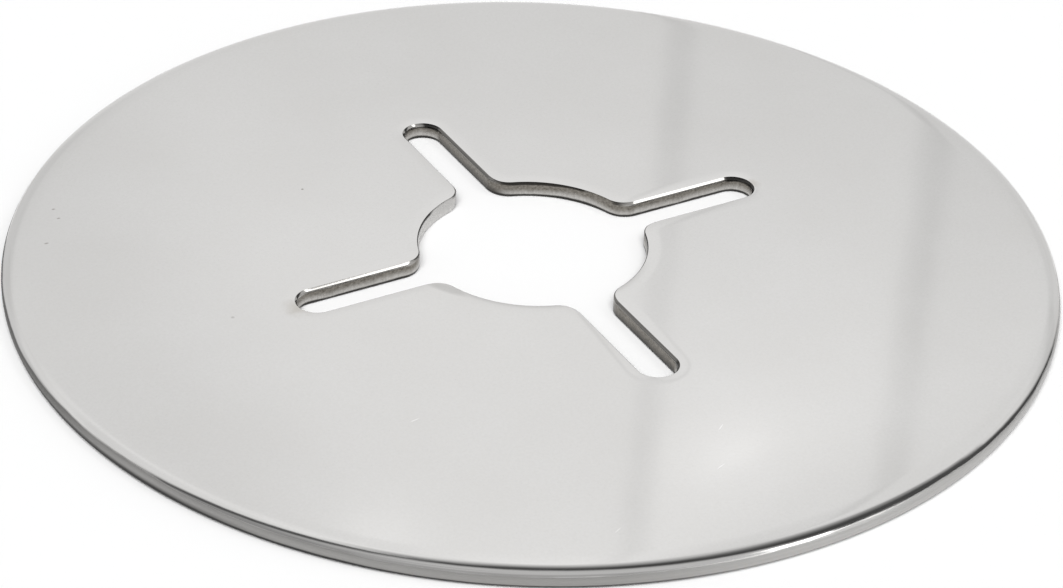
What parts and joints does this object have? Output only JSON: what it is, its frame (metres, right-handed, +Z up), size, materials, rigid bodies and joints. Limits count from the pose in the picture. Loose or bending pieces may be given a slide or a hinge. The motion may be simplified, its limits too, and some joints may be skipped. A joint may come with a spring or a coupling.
{
  "type": "hot plate",
  "caption": "Flat round plate of polished stainless steel, laid loose over a table burner: a central flame hole with slots running out from it spreads the heat under a pan.",
  "frame": {"origin": "on the plate's axis, at its flat underside", "axes": "+Z up, along the plate's axis; the slots lie along X and along Y"},
  "size_m": [0.24, 0.24, 0.004],
  "materials": {
    "polished_steel": "stainless steel, polished to a soft mirror, with a straight fine grain on the cut walls of the opening"
  },
  "bodies": {
    "root": {"hot_plate": "polished_steel"}
  },
  "joints": []
}
